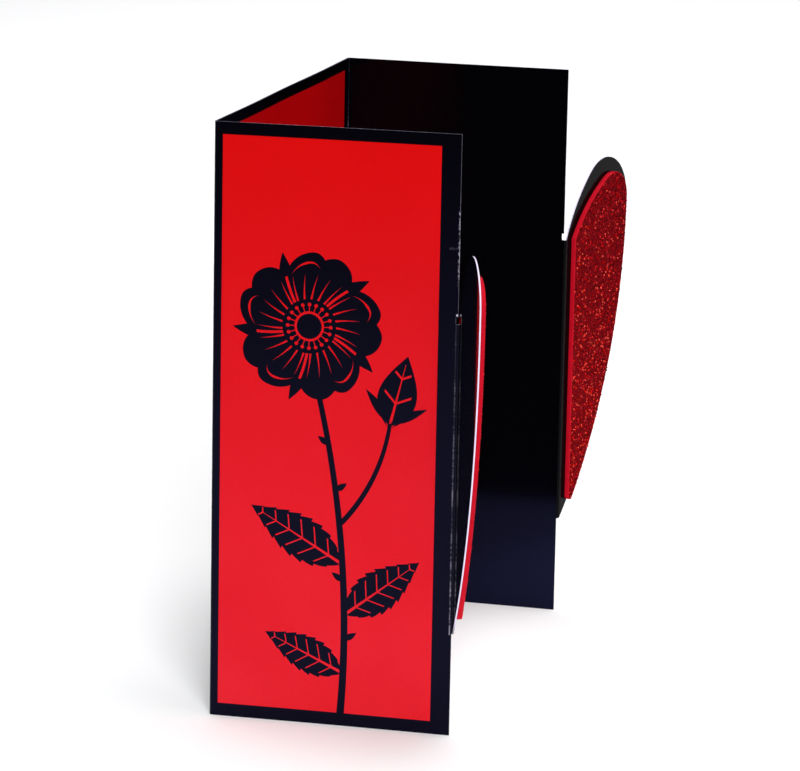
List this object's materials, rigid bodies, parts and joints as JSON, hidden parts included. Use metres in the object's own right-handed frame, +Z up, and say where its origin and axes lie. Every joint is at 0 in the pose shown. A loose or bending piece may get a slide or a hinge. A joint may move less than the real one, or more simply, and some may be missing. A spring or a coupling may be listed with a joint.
{
  "type": "greeting card",
  "caption": "Tall gatefold greeting card of dark gloss board, standing open, with red glitter foam half-hearts on tabs folded outwards from the flaps' free edges.",
  "frame": {"origin": "foot of the middle panel, halfway along it, at the middle of the board", "axes": "+Z up the card; +X from the middle panel towards the open side, along the flaps; +Y from the front flap to the back flap"},
  "size_m": [0.1048, 0.2546, 0.21],
  "materials": {
    "board": "gloss",
    "glitter_foam": "matte"
  },
  "bodies": {
    "root": {"folded_card": "board", "front_half_heart": "glitter_foam", "back_half_heart": "glitter_foam"}
  },
  "joints": []
}
